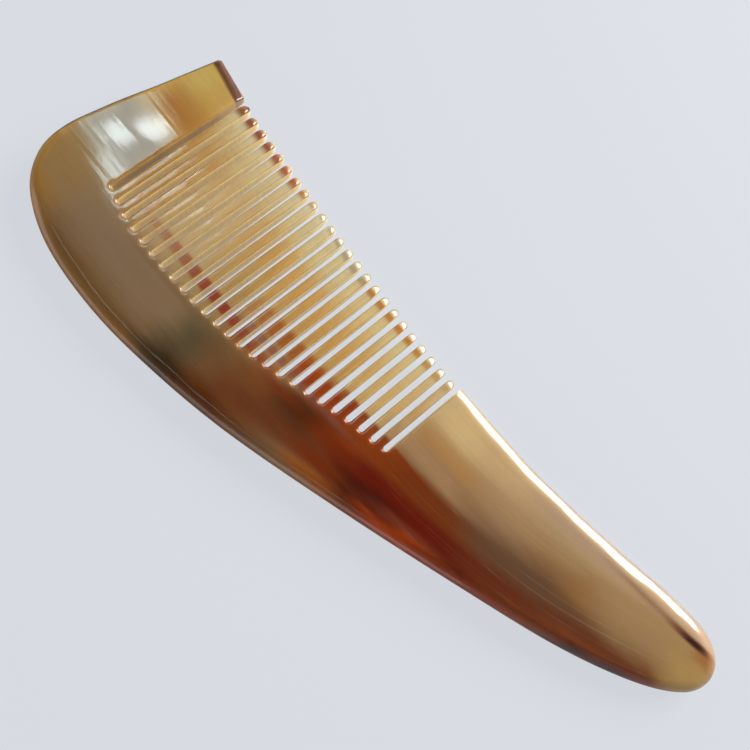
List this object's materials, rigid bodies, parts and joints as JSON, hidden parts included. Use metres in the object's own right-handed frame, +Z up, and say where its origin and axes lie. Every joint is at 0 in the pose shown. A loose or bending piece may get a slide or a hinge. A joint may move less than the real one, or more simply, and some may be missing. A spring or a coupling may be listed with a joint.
{
  "type": "beard comb",
  "caption": "Handmade style one-piece horn comb with a broad end guard, a row of straight tapered teeth in a curved head and a long rounded handle.",
  "frame": {"origin": "under the middle of the comb's bounding box, on the surface it lies on", "axes": "+X along the comb towards the end of the handle, +Y the way the teeth point, +Z up through the thickness"},
  "size_m": [0.193, 0.0627, 0.0056],
  "materials": {
    "horn": "polished translucent ox horn, golden in the teeth, grey-brown in the head, cream with dark red-brown streaks in the handle"
  },
  "bodies": {
    "root": {"spine": "horn", "end_guard": "horn", "handle": "horn", "tooth_01": "horn", "tooth_02": "horn", "tooth_03": "horn", "tooth_04": "horn", "tooth_05": "horn", "tooth_06": "horn", "tooth_07": "horn", "tooth_08": "horn", "tooth_09": "horn", "tooth_10": "horn", "tooth_11": "horn", "tooth_12": "horn", "tooth_13": "horn", "tooth_14": "horn", "tooth_15": "horn", "tooth_16": "horn", "tooth_17": "horn", "tooth_18": "horn", "tooth_19": "horn", "tooth_20": "horn", "tooth_21": "horn", "tooth_22": "horn", "tooth_23": "horn", "tooth_24": "horn"}
  },
  "joints": []
}
